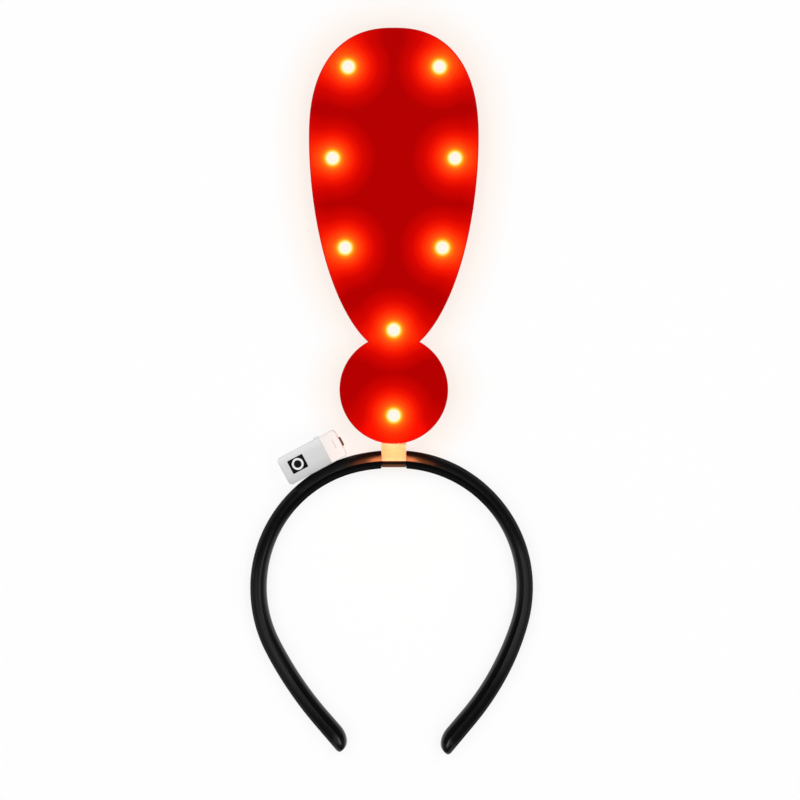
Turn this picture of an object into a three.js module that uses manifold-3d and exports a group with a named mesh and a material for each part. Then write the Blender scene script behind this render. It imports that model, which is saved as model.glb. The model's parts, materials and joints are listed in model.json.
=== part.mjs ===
// Light-up exclamation mark headband, lying on its back with its front up.
// Millimetres. X runs across the front to the right, Y from the band's tips to the top of the mark,
// and Z out of the front. The backs of the band, the mark and the battery box lie in the plane Z = 0.
import * as THREE from "three";
import { LoftGeometry } from "three/addons/geometries/LoftGeometry.js";
import { mergeVertices } from "three/addons/utils/BufferGeometryUtils.js";
import Module from "manifold-3d";

const wasm = await Module();
wasm.setup();

// Clearance between neighbouring pieces
const GAP = 0.3;

// Band: a springy moulding with a ridge along its front and its back
const BAND = {
  depth: 10,
  crownRadius: 80,
  sideRadius: 61.2,
  outerShare: 0.57, // share of the thickness that lies outside the ridges
  sectionPoints: 18,
  stationStep: 5,
};

// Its middle line from the crown to each tip. The left leg is bent out a little more than the right one.
const SIDES = {
  left: {
    sign: -1,
    stretches: {
      crown: { radius: BAND.crownRadius, length: 15.8 },
      side: { radius: BAND.sideRadius, length: 113 },
      leg: { radius: 175, length: 42 },
      tip: { radius: Infinity, length: 18.2 },
    },
  },
  right: {
    sign: 1,
    stretches: {
      crown: { radius: BAND.crownRadius, length: 6.7 },
      side: { radius: BAND.sideRadius, length: 109.1 },
      leg: { radius: 127, length: 51.2 },
      tip: { radius: Infinity, length: 20.2 },
    },
  },
};

// Its thickness across the front, at lengths from the crown
const THICKNESSES = [
  { along: 0, thickness: 8.6 },
  { along: 58, thickness: 7.65 },
  { along: 100, thickness: 8 },
  { along: 140, thickness: 8.8 },
  { along: 190, thickness: 9.2 },
];

// How the tips round off: the length of each rounding, and how much it takes off at the end
const TIP = {
  outer: { length: 2, cut: 1.2 },
  inner: { length: 9.5, cut: 6.1 },
  depth: { length: 5, cut: 2.5 },
  stations: 7,
};

// Strap: a folded strip around the crown, flush in a shallow seat of the band, with a tab into the mark
const STRAP = {
  width: 11.7,
  sheet: 0.7,
  ridgeFactor: 1.4, // the sheet measures this much more from front to back, where it bends at the ridges
  tabThickness: 1.6,
  shoulder: 1.6, // height over the crown where the two sides meet the tab
  reach: 9, // height over the crown of the tab's end, inside the mark
  curveSteps: 10,
};

// Mark: a drop over a dot, one outline, a shell with side walls and a plate in its back
const MARK = {
  depth: 9,
  wall: 1.5,
  backThickness: 1.2,
  dotRadius: 26,
  dotHeight: 29.05, // the dot's centre over the crown
  dropHeight: 120.6, // the drop's widest line over the dot's centre
  dropHalfWidth: 40.65,
  dropUp: { length: 52.7, power: 2.37 },
  dropDown: { length: 103.4, power: 1.91 },
  arcSteps: 14,
  waistHalvings: 40,
};

// Lights: half the distance across each row, and its height over the dot's centre
const LED_ROWS = [
  { halfSpacing: 21.85, height: 154.5 },
  { halfSpacing: 29.3, height: 110.8 },
  { halfSpacing: 23.3, height: 67.9 },
  { halfSpacing: 0, height: 28.5 },
  { halfSpacing: 0, height: -12.4 },
];
const LED = {
  radius: 2.5,
  flangeRadius: 2.9,
  flangeHeight: 1,
  sunk: 0.1, // the dome starts this far under the mark's face
  sides: 18,
  domeSteps: 4,
};

// Battery box: length along the band, height out from it and depth from back to front
const BOX = {
  length: 31,
  height: 14.1,
  depth: 13.4,
  slopeDegrees: 28.07,
  shift: -1.81, // its middle, along its length, from the point where it touches the band
  sink: 0.35, // how far its underside is saddled over the band's edge
  cornerRadius: 1.8,
  bevel: 0.7,
  bevelSteps: 3,
  cornerSteps: 6,
  wall: 1.4,
  saddleWall: 2.4,
  coverThickness: 1.7,
  coverSeam: 7.05, // where the cover ends, from the box's middle
};
const CATCH = { length: 2.4, height: 0.8, root: 1 };

// Slide switch in the box's right end: at rest it is on, and it travels towards the band
const SWITCH = {
  length: 4.7,
  depth: 3,
  travel: 2,
  restHeight: 0.1,
  proud: 0.9,
  pocket: 4.6,
  chamfer: 0.5,
};

const COLOURS = {
  blackPlastic: { color: 0x16161a, roughness: 0.35, metalness: 0 },
  paleGold: { color: 0xe8c37c, roughness: 0.35, metalness: 1 },
  redPlastic: { color: 0xb80500, roughness: 0.3, metalness: 0 },
  lightDome: { color: 0xfff2d8, roughness: 0.15, metalness: 0 },
  whitePlastic: { color: 0xdfdfdf, roughness: 0.45, metalness: 0 },
};

const TURN = 2 * Math.PI;
const EXTRA = 5; // how far a cutter runs past what it cuts

// A named mesh with its own material
function piece(name, geometry, colour) {
  const mesh = new THREE.Mesh(geometry, new THREE.MeshStandardMaterial(colour));
  mesh.name = name;
  return mesh;
}

// A geometry as a solid that can be joined and cut
function solid(geometry) {
  const bare = new THREE.BufferGeometry();
  bare.setAttribute("position", geometry.getAttribute("position"));
  bare.setIndex(geometry.index);
  const merged = mergeVertices(bare);
  return new wasm.Manifold(
    new wasm.Mesh({
      numProp: 3,
      vertProperties: merged.attributes.position.array,
      triVerts: new Uint32Array(merged.index.array),
    }),
  );
}

// A solid back as a geometry
function surface(body) {
  const mesh = body.getMesh();
  const geometry = new THREE.BufferGeometry();
  geometry.setAttribute("position", new THREE.BufferAttribute(mesh.vertProperties, 3));
  geometry.setIndex(new THREE.BufferAttribute(mesh.triVerts, 1));
  geometry.computeVertexNormals();
  return geometry;
}

// A block between two corners
function block(low, high) {
  const size = high.map((value, i) => value - low[i]);
  const middle = high.map((value, i) => (value + low[i]) / 2);
  return new THREE.BoxGeometry(...size).translate(...middle);
}

// A prism of a closed outline, from one height to another
function prism(outline, from, to) {
  const shape = new THREE.Shape(outline);
  const settings = { depth: to - from, bevelEnabled: false };
  return new THREE.ExtrudeGeometry(shape, settings).translate(0, 0, from);
}

// Points of one half of a shape, taken over to the other half
function mirrored(points) {
  return points.toReversed().map((p) => new THREE.Vector2(-p.x, p.y));
}

const CROWN_THICKNESS = THICKNESSES[0].thickness;
// The seat's shoulders stand square to the curved band, so they lean in towards the strap under it
const SEAT_HALF = (STRAP.width / 2) * (1 + CROWN_THICKNESS / (2 * BAND.crownRadius)) + GAP;
// The crown falls this much from the seat's middle to its end, under the straight strap
const SEAT_FALL = BAND.crownRadius - Math.sqrt(BAND.crownRadius ** 2 - SEAT_HALF ** 2);
// What the seat takes off the band's outer edge, inner edge and ridges
const SEAT = {
  outer: STRAP.sheet + GAP,
  inner: STRAP.sheet + GAP + SEAT_FALL,
  ridge: STRAP.ridgeFactor * (STRAP.sheet + GAP),
};
const NO_SEAT = { outer: 0, inner: 0, ridge: 0 };

// The band's middle line on one side, at a length from the crown: its point and how far it has turned down
function bandLine(along, { stretches }) {
  const point = new THREE.Vector2(0, -CROWN_THICKNESS / 2);
  let heading = 0;
  let left = along;
  for (const { radius, length } of Object.values(stretches)) {
    const used = Math.min(left, length);
    const sweep = used / radius;
    const chord = sweep === 0 ? used : 2 * radius * Math.sin(sweep / 2);
    point.x += chord * Math.cos(heading + sweep / 2);
    point.y -= chord * Math.sin(heading + sweep / 2);
    heading += sweep;
    left -= used;
  }
  return { point, heading };
}

function sideLength({ stretches }) {
  return Object.values(stretches).reduce((sum, { length }) => sum + length, 0);
}

function thicknessAt(along) {
  const next = THICKNESSES.findIndex((row) => row.along >= along);
  if (next <= 0) return CROWN_THICKNESS;
  const before = THICKNESSES[next - 1];
  const after = THICKNESSES[next];
  const share = THREE.MathUtils.smoothstep(along, before.along, after.along);
  return THREE.MathUtils.lerp(before.thickness, after.thickness, share);
}

// How much a tip's rounding, a quarter ellipse, takes off at a distance from the end
function roundedOff(distance, { length, cut }) {
  const short = Math.max(0, 1 - distance / length);
  return cut * (1 - Math.sqrt(1 - short * short));
}

// At a length from the crown: where the band's edges and ridges lie from its middle line, and half its depth
function bandEdges(along, side) {
  const half = thicknessAt(along) / 2;
  const distance = sideLength(side) - along;
  const outer = half - roundedOff(distance, TIP.outer);
  const inner = roundedOff(distance, TIP.inner) - half;
  const seat = along < SEAT_HALF ? SEAT : NO_SEAT;
  return {
    outer: outer - seat.outer,
    inner: inner + seat.inner,
    ridge: THREE.MathUtils.lerp(outer, inner, BAND.outerShare),
    half: BAND.depth / 2 - roundedOff(distance, TIP.depth) - seat.ridge,
  };
}

// The band's section there: two parabolic bulges, to the outer and the inner edge, that meet at the ridges
function bandSection(along, side, grow) {
  const { point, heading } = bandLine(along, side);
  const { outer, inner, ridge, half } = bandEdges(along, side);
  return Array.from({ length: BAND.sectionPoints }, (_, i) => {
    const angle = -(i / BAND.sectionPoints) * TURN;
    const edge = Math.sin(angle) > 0 ? outer + grow : inner - grow;
    const offset = THREE.MathUtils.lerp(ridge, edge, Math.sin(angle) ** 2);
    return new THREE.Vector3(
      side.sign * (point.x + offset * Math.sin(heading)),
      point.y + offset * Math.cos(heading),
      BAND.depth / 2 + (half + grow) * Math.cos(angle),
    );
  });
}

// Where one side has a section: at the end of the strap's seat, evenly along the band, then in the tip
function bandStations(side) {
  const shoulderRun = 0.05;
  const tipStart = sideLength(side) - TIP.inner.length;
  const stretch = tipStart - SEAT_HALF;
  const steps = Math.ceil(stretch / BAND.stationStep);
  const stations = [SEAT_HALF - shoulderRun, SEAT_HALF];
  for (let i = 1; i <= steps; i++) {
    stations.push(SEAT_HALF + (i / steps) * stretch);
  }
  for (let i = 1; i <= TIP.stations; i++) {
    stations.push(tipStart + TIP.inner.length * Math.sin((i / TIP.stations) * (TURN / 4)));
  }
  return stations;
}

// The whole band, or the band grown all round to cut a clearance
function bandGeometry(grow = 0) {
  const sections = (side) => bandStations(side).map((along) => bandSection(along, side, grow));
  const middle = bandSection(0, SIDES.right, grow);
  const all = [...sections(SIDES.left).toReversed(), middle, ...sections(SIDES.right)];
  return new LoftGeometry(all, { capStart: true, capEnd: true });
}

// Half of the strap's profile under the band, from its middle round to the front ridge
function strapSide(inset) {
  const ridgeHeight = -BAND.outerShare * CROWN_THICKNESS;
  const under = (1 - BAND.outerShare) * CROWN_THICKNESS - inset;
  const half = BAND.depth / 2 - STRAP.ridgeFactor * inset;
  return Array.from({ length: STRAP.curveSteps + 1 }, (_, i) => {
    const share = i / STRAP.curveSteps;
    return new THREE.Vector2(share * half, ridgeHeight - under * (1 - share ** 2));
  });
}

// From the ridges the strap runs straight up to the tab that stands in the mark
function strapGeometry() {
  const tabHalf = STRAP.tabThickness / 2;
  const outside = strapSide(0);
  outside.push(new THREE.Vector2(tabHalf, STRAP.shoulder));
  outside.push(new THREE.Vector2(tabHalf, STRAP.reach));
  const inside = strapSide(STRAP.sheet);
  inside.push(new THREE.Vector2(0, STRAP.shoulder - STRAP.sheet));
  const shape = new THREE.Shape([...outside, ...mirrored(outside.slice(1))]);
  shape.holes.push(new THREE.Path([...inside, ...mirrored(inside.slice(1, -1))]));
  return new THREE.ExtrudeGeometry(shape, { depth: STRAP.width, bevelEnabled: false })
    .translate(0, 0, -STRAP.width / 2)
    .rotateY(-TURN / 4)
    .translate(0, 0, BAND.depth / 2);
}

// A point of the drop's outline: half a superellipse over or under its widest line
function dropPoint(angle, { length, power }, sign, inset) {
  return new THREE.Vector2(
    (MARK.dropHalfWidth - inset) * Math.cos(angle) ** (2 / power),
    MARK.dropHeight + sign * (length - inset) * Math.sin(angle) ** (2 / power),
  );
}

// The angle at which the drop's lower half runs into the dot
function waistAngle(radius, inset) {
  let clear = 0;
  let inDot = TURN / 4;
  for (let i = 0; i < MARK.waistHalvings; i++) {
    const middle = (clear + inDot) / 2;
    if (dropPoint(middle, MARK.dropDown, -1, inset).length() > radius) clear = middle;
    else inDot = middle;
  }
  return inDot;
}

// The mark's outline about the dot's centre, drawn in by an inset
function markOutline(inset) {
  const radius = MARK.dotRadius - inset;
  const lastAngle = waistAngle(radius, inset);
  const waist = dropPoint(lastAngle, MARK.dropDown, -1, inset);
  const steps = MARK.arcSteps;
  const right = [];
  for (let i = 1; i <= steps; i++) {
    right.push(dropPoint((TURN / 4) * (1 - i / steps), MARK.dropUp, 1, inset));
  }
  for (let i = 1; i <= steps; i++) {
    right.push(dropPoint((lastAngle * i) / steps, MARK.dropDown, -1, inset));
  }
  for (let i = 1; i < steps; i++) {
    const angle = THREE.MathUtils.lerp(waist.angle(), -TURN / 4, i / steps);
    right.push(new THREE.Vector2(radius * Math.cos(angle), radius * Math.sin(angle)));
  }
  const top = new THREE.Vector2(0, MARK.dropHeight + MARK.dropUp.length - inset);
  const bottom = new THREE.Vector2(0, -radius);
  return [top, ...right, bottom, ...mirrored(right)];
}

const LED_PLACES = LED_ROWS.flatMap(({ halfSpacing, height }) =>
  (halfSpacing > 0 ? [-halfSpacing, halfSpacing] : [0]).map((x) => ({ x, y: height })),
);

// The mark's face and side walls, with a slot for the strap's tab and a hole for each light
function markShellGeometry() {
  const slotX = STRAP.width / 2 + GAP;
  const slotZ = STRAP.tabThickness / 2 + GAP;
  const slotBlock = block(
    [-slotX, -MARK.dotRadius - EXTRA, BAND.depth / 2 - slotZ],
    [slotX, STRAP.reach - MARK.dotHeight + GAP, BAND.depth / 2 + slotZ],
  );
  let shell = solid(prism(markOutline(0), 0, MARK.depth))
    .subtract(solid(prism(markOutline(MARK.wall), -EXTRA, MARK.depth - MARK.wall)))
    .subtract(solid(slotBlock));
  const holeRadius = LED.radius + GAP;
  for (const { x, y } of LED_PLACES) {
    const hole = new THREE.CylinderGeometry(holeRadius, holeRadius, 2 * EXTRA, LED.sides);
    shell = shell.subtract(solid(hole.rotateX(TURN / 4).translate(x, y, MARK.depth)));
  }
  return surface(shell);
}

// A light: a flange behind the mark's face, a round body through it and a dome in front
function ledGeometry() {
  const flangeTop = MARK.depth - MARK.wall - GAP;
  const domeStart = MARK.depth - LED.sunk;
  const profile = [
    new THREE.Vector2(0, flangeTop - LED.flangeHeight),
    new THREE.Vector2(LED.flangeRadius, flangeTop - LED.flangeHeight),
    new THREE.Vector2(LED.flangeRadius, flangeTop),
    new THREE.Vector2(LED.radius, flangeTop),
  ];
  for (let i = 0; i <= LED.domeSteps; i++) {
    const angle = (i / LED.domeSteps) * (TURN / 4);
    const radius = i === LED.domeSteps ? 0 : LED.radius * Math.cos(angle);
    profile.push(new THREE.Vector2(radius, domeStart + LED.radius * Math.sin(angle)));
  }
  return new THREE.LatheGeometry(profile, LED.sides).rotateX(TURN / 4);
}

function makeMark() {
  const mark = new THREE.Group();
  mark.position.y = MARK.dotHeight;
  mark.add(piece("mark_shell", markShellGeometry(), COLOURS.redPlastic));
  const back = prism(markOutline(MARK.wall + GAP), 0, MARK.backThickness);
  mark.add(piece("mark_back", back, COLOURS.redPlastic));
  LED_PLACES.forEach(({ x, y }, i) => {
    const led = piece(`led_${i + 1}`, ledGeometry(), COLOURS.lightDome);
    led.position.set(x, y, 0);
    mark.add(led);
  });
  return mark;
}

// The box's whole outer form, centred along its length and height, with its back at Z = 0
function boxForm() {
  const x = BOX.length / 2 - BOX.cornerRadius;
  const y = BOX.height / 2 - BOX.cornerRadius;
  const shape = new THREE.Shape();
  shape.absarc(x, y, BOX.cornerRadius, 0, TURN / 4);
  shape.absarc(-x, y, BOX.cornerRadius, TURN / 4, TURN / 2);
  shape.absarc(-x, -y, BOX.cornerRadius, TURN / 2, (3 * TURN) / 4);
  shape.absarc(x, -y, BOX.cornerRadius, (3 * TURN) / 4, TURN);
  const geometry = new THREE.ExtrudeGeometry(shape, {
    depth: BOX.depth - 2 * BOX.bevel,
    bevelThickness: BOX.bevel,
    bevelSize: BOX.bevel,
    bevelOffset: -BOX.bevel,
    bevelSegments: BOX.bevelSteps,
    curveSegments: BOX.cornerSteps,
  });
  return solid(geometry.translate(0, 0, BOX.bevel));
}

// Where the box touches the band's outer edge on the left, and how it stands there
function boxPlace() {
  const { crown, side } = SIDES.left.stretches;
  const slope = THREE.MathUtils.degToRad(BOX.slopeDegrees);
  const along = crown.length + (slope - crown.length / crown.radius) * side.radius;
  const { point, heading } = bandLine(along, SIDES.left);
  const reach = thicknessAt(along) / 2 - BOX.sink + BOX.height / 2;
  const place = new THREE.Vector3(
    -point.x - reach * Math.sin(heading) + BOX.shift * Math.cos(heading),
    point.y + reach * Math.cos(heading) + BOX.shift * Math.sin(heading),
    0,
  );
  return { place, turn: heading };
}

// The room over the tray, from its left end to where the cover ends
function coverRoom(underside, end) {
  const x = BOX.length / 2 + EXTRA;
  const y = BOX.height / 2 + EXTRA;
  return solid(block([-x, -y, underside], [end, y, BOX.depth + EXTRA]));
}

// The tray: open at the front for the cells, with a pocket in its right end for the switch
function boxBodyGeometry(saddle) {
  const x = BOX.length / 2;
  const y = BOX.height / 2;
  const lid = BOX.depth - BOX.coverThickness - GAP;
  const cells = block(
    [-x + BOX.wall, -y + BOX.saddleWall, BOX.wall],
    [BOX.coverSeam - BOX.wall, y - BOX.wall, lid + EXTRA],
  );
  const reach = SWITCH.length / 2 + GAP;
  const pocketHalf = SWITCH.depth / 2 + GAP;
  const pocket = block(
    [x - SWITCH.pocket, SWITCH.restHeight - SWITCH.travel - reach, BOX.depth / 2 - pocketHalf],
    [x + EXTRA, SWITCH.restHeight + reach, BOX.depth / 2 + pocketHalf],
  );
  const body = boxForm()
    .subtract(coverRoom(lid, BOX.coverSeam + GAP))
    .subtract(solid(cells))
    .subtract(solid(pocket))
    .subtract(saddle);
  return surface(body);
}

// The cover over the cells, with a small catch on its upper edge
function boxCoverGeometry(saddle) {
  const y = BOX.height / 2;
  const underside = BOX.depth - BOX.coverThickness;
  const catchBlock = block(
    [BOX.coverSeam - CATCH.length, y - CATCH.root, underside],
    [BOX.coverSeam, y + CATCH.height, BOX.depth - BOX.bevel],
  );
  const cover = boxForm()
    .intersect(coverRoom(underside, BOX.coverSeam))
    .add(solid(catchBlock))
    .subtract(saddle);
  return surface(cover);
}

// The switch's slider: a bar in the pocket whose end stands proud of the box's end face
function switchGeometry() {
  const half = SWITCH.length / 2;
  const inner = BOX.length / 2 - SWITCH.pocket + GAP;
  const outer = BOX.length / 2 + SWITCH.proud;
  const outline = [
    new THREE.Vector2(inner, -half),
    new THREE.Vector2(outer - SWITCH.chamfer, -half),
    new THREE.Vector2(outer, -half + SWITCH.chamfer),
    new THREE.Vector2(outer, half - SWITCH.chamfer),
    new THREE.Vector2(outer - SWITCH.chamfer, half),
    new THREE.Vector2(inner, half),
  ];
  return prism(outline, (BOX.depth - SWITCH.depth) / 2, (BOX.depth + SWITCH.depth) / 2);
}

function makeBatteryBox() {
  const { place, turn } = boxPlace();
  const saddle = solid(bandGeometry(GAP).translate(-place.x, -place.y, 0).rotateZ(-turn));
  const box = new THREE.Group();
  box.position.copy(place);
  box.rotation.z = turn;
  box.add(piece("box_body", boxBodyGeometry(saddle), COLOURS.whitePlastic));
  box.add(piece("box_cover", boxCoverGeometry(saddle), COLOURS.whitePlastic));
  const knob = piece("switch_knob", switchGeometry(), COLOURS.blackPlastic);
  knob.position.y = SWITCH.restHeight;
  box.add(knob);
  return box;
}

const assembly = new THREE.Group();
assembly.add(piece("band", bandGeometry(), COLOURS.blackPlastic));
assembly.add(piece("strap", strapGeometry(), COLOURS.paleGold));
assembly.add(makeMark());
assembly.add(makeBatteryBox());

// The middle of the headband's length and width is at X = 0, Y = 0
const middle = new THREE.Box3().setFromObject(assembly, true).getCenter(new THREE.Vector3());
assembly.position.set(-middle.x, -middle.y, 0);

const headband = new THREE.Group();
headband.add(assembly);

export default headband;
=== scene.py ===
"""Light-up exclamation mark headband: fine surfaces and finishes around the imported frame.

Sizes are millimetres, and become metres where a mesh, a node or a light is made. The band, the strap and
the mark are drawn from the headband's own zero: the top of the band's crown on the mark's axis, in the plane
that the backs lie on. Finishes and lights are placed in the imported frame.
"""

import json
import logging
import math
from dataclasses import dataclass
from enum import Enum
from typing import NamedTuple

import bmesh
import bpy
import numpy as np
from bpy.types import ID, Material, NodeSocket, Object, World
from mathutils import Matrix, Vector


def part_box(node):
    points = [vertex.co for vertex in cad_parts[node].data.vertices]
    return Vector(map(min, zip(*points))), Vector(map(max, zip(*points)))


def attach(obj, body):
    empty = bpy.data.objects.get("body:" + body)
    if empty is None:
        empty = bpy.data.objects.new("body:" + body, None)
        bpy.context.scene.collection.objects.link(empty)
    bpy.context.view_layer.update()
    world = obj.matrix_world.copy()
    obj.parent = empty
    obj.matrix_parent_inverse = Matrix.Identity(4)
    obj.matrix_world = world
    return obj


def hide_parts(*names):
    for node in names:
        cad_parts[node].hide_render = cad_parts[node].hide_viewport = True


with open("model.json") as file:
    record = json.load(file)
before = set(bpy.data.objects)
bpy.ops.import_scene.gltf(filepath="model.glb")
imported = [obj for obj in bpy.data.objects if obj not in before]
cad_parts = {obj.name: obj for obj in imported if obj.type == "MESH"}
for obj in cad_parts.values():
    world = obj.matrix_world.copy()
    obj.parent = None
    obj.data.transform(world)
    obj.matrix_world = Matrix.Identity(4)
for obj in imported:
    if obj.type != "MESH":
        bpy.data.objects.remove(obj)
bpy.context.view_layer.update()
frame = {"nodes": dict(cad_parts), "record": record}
LOG = logging.getLogger("headband")
MM = 0.001
TURN = 2 * math.pi
WHITE = "ffffff"
BODY = "headband"
STRAP_REACH = 9.0
# The light that the lowest dome throws forward: where it comes from, and what it falls on.
OVER_DOME, STRAP_FRONT = (1.07, -12.0, 23.0), (1.07, -32.0, 9.5)
OVER_BAND, TAB_FRONT = (1.07, -42.0, 44.0), (1.07, -26.5, 6.0)
Array = np.ndarray


class Slot(Enum):
    """The record's material slots."""

    BAND = "band_black"
    STRAP = "strap_gold"
    MARK = "mark_red"
    DOME = "light_dome"
    BOX = "box_white"


class Axis(Enum):
    """The frame's axes that a colour changes along, by the name of a node's output."""

    ALONG = "Y"
    OUT = "Z"


class Stretch(NamedTuple):
    """One arc of the band's middle line."""

    radius: float
    length: float


class Rounding(NamedTuple):
    """A tip's quarter-ellipse rounding: how long it is, and what it takes off at the end."""

    length: float
    cut: float

    def taken(self, left: Array) -> Array:
        """What it takes off where this much of the band is left."""
        share = np.clip(1 - left / self.length, 0, 1)
        return self.cut * (1 - np.sqrt(1 - share**2))


class Grain(NamedTuple):
    """A fine grain in a finish: one grain's width and height, and how many finer layers lie on it."""

    size: float
    height: float
    layers: float = 2.0


def linear(colour: str) -> tuple[float, float, float, float]:
    """Turn an sRGB colour to linear light by the standard's curve.

    Args:
        colour: six hex digits.

    Returns:
        Red, green, blue and full alpha.
    """
    parts = np.array([int(colour[i:i + 2], 16) for i in (0, 2, 4)]) / 255
    curve = np.where(parts <= 0.04045, parts / 12.92, ((parts + 0.055) / 1.055) ** 2.4)
    return (*curve.tolist(), 1.0)


def smoothstep(value: Array) -> Array:
    """Ease a share from 0 to 1 with level ends."""
    held = np.clip(value, 0, 1)
    return held * held * (3 - 2 * held)


def spaced(stops: tuple, start: float, end: float) -> list[tuple[float, str]]:
    """Turn each stop's place from millimetres to its share of the way from start to end."""
    return [((place - start) / (end - start), colour) for place, colour in stops]


def ring_faces(rings: int, count: int) -> list[list[int]]:
    """Join rings of points into one closed skin.

    Args:
        rings: how many rings follow each other.
        count: points in each ring, which closes on itself.

    Returns:
        Quads between neighbouring rings, and one flat cap on the first and on the last ring.
    """
    start = np.arange(rings - 1)[:, None] * count
    here = np.arange(count)
    after = (here + 1) % count
    quads = np.stack([start + here, start + after, start + count + after, start + count + here], axis=-1)
    last = here + (rings - 1) * count
    return quads.reshape(-1, 4).tolist() + [here[::-1].tolist(), last.tolist()]


def rounded_rectangle(width: float, height: float, radius: float, steps: int) -> Array:
    """Outline of a rectangle with round corners: four quarter circles about the inner corners.

    Args:
        width: size along the first axis.
        height: size along the second axis.
        radius: of the corners.
        steps: points in each corner.

    Returns:
        Points in order, one row each.
    """
    turn = (np.arange(4)[:, None] + np.linspace(0, 1, steps)) * TURN / 4
    corner = np.array([[1, 1], [-1, 1], [-1, -1], [1, -1]]) * (np.array([width, height]) / 2 - radius)
    arcs = corner[:, None, :] + radius * np.stack([np.cos(turn), np.sin(turn)], axis=-1)
    return arcs.reshape(-1, 2)


def lifted(flat: Array, height: float) -> Array:
    """Flat points, lifted to one height."""
    return np.column_stack([flat, np.full(len(flat), height)])


def crown_zero() -> Array:
    """The headband's own zero in the frame, from the strap's middle and its reach over the crown's top."""
    low, high = (np.array(corner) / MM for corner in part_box("strap"))
    return np.array([(low[0] + high[0]) / 2, high[1] - STRAP_REACH, 0.0])


def show(data: ID) -> Object:
    """Put a mesh, a light or a camera into the scene.

    Args:
        data: what is shown, whose name the object takes.

    Returns:
        The new object.
    """
    shown = bpy.data.objects.new(data.name, data)
    bpy.context.scene.collection.objects.link(shown)
    return shown


def make_piece(name: str, rings: Array, material: Material, slot: Slot, crease: float = 40.0) -> Object:
    """Make one closed piece from rings of points, which rides on the headband.

    Args:
        name: the piece's name.
        rings: array of rings, points and coordinates, in millimetres in the frame.
        material: its finish.
        slot: the record's slot that it belongs to; not used.
        crease: edges sharper than this many degrees stay crisp.

    Returns:
        The new object.
    """
    mesh = bpy.data.meshes.new(name)
    mesh.from_pydata((rings.reshape(-1, 3) * MM).tolist(), [], ring_faces(*rings.shape[:2]))
    shape = bmesh.new()
    shape.from_mesh(mesh)
    bmesh.ops.recalc_face_normals(shape, faces=shape.faces)
    shape.to_mesh(mesh)
    shape.free()
    mesh.shade_smooth()
    mesh.set_sharp_from_angle(angle=math.radians(crease))
    mesh.materials.append(material)
    piece = show(mesh)
    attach(piece, BODY)
    LOG.info("%s: %d points", name, len(mesh.vertices))
    return piece


def mark_points(piece: Object, name: str, values: Array) -> None:
    """Store one number for each point of a piece, for its finish to read.

    Args:
        piece: the piece.
        name: of the stored numbers.
        values: one for each point, in the order of the rings.
    """
    layer = piece.data.attributes.new(name, "FLOAT", "POINT")
    layer.data.foreach_set("value", values.ravel().astype(np.float32))


def dress(node: str, material: Material) -> None:
    """Give a node of the frame a finish of its own.

    Args:
        node: the node's name.
        material: its finish.
    """
    shown = frame["nodes"][node]
    shown.data.materials.clear()
    shown.data.materials.append(material)
    LOG.info("%s: dressed in %s", node, material.name)


class Nodes:
    """The nodes of one finish or of the room, with the coordinates that its patterns read."""

    def __init__(self, owner: Material | World, read: str = "Object") -> None:
        """Start with the coordinates alone.

        Args:
            owner: a new material or world.
            read: the coordinates' name.
        """
        owner.use_nodes = True
        self.owner = owner
        self.tree = owner.node_tree
        self.tree.nodes.clear()
        self.place = self.add("TexCoord", out=read)

    def add(
        self, kind: str, values: dict | None = None, links: dict | None = None, out: str = "",
        stops: list | tuple = (), **settings: str | bool,
    ) -> NodeSocket | None:
        """Add one node with its settings, socket values and incoming links.

        Args:
            kind: Blender's name of the node type, after ShaderNode.
            values: socket name or number to its constant.
            links: socket name or number to the output socket that feeds it.
            out: name of the wanted output, where it isn't the first one in use.
            stops: a colour ramp's places from 0 to 1, in order, each with its sRGB hex colour.
            settings: the node's own properties.

        Returns:
            The wanted output, if it has one.
        """
        node = self.tree.nodes.new("ShaderNode" + kind)
        for name, value in settings.items():
            setattr(node, name, value)
        for key, value in (values or {}).items():
            node.inputs[key].default_value = value
        for key, source in (links or {}).items():
            self.tree.links.new(source, node.inputs[key])
        if stops:
            elements = node.color_ramp.elements
            while len(elements) < len(stops):
                elements.new(1.0)
            for element, (place, colour) in zip(elements, stops):
                element.position = place
                element.color = linear(colour)
        return node.outputs[out] if out else next((end for end in node.outputs if end.enabled), None)

    def bumped(self, grain: Grain) -> NodeSocket:
        """A normal with a fine grain.

        Args:
            grain: what bumps it.

        Returns:
            The normal.
        """
        values = {"Scale": 1 / (grain.size * MM), "Detail": grain.layers}
        noise = self.add("TexNoise", values, {"Vector": self.place})
        return self.add("Bump", {"Strength": 1.0, "Distance": grain.height * MM}, {"Height": noise})

    def share(self, axis: Axis, start: float, end: float) -> NodeSocket:
        """The share of the way from start to end along one of the frame's axes, held at both ends."""
        along = self.add("SeparateXYZ", links={0: self.place}, out=axis.value)
        return self.add("MapRange", {"From Min": start * MM, "From Max": end * MM}, {"Value": along})

    def shade(self, values: dict, links: dict) -> Material:
        """Put out one principled shader.

        Args:
            values: its constants.
            links: what feeds its other sockets.

        Returns:
            The finished material.
        """
        shader = self.add("BsdfPrincipled", values, links)
        self.add("OutputMaterial", links={"Surface": shader})
        return self.owner


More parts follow.
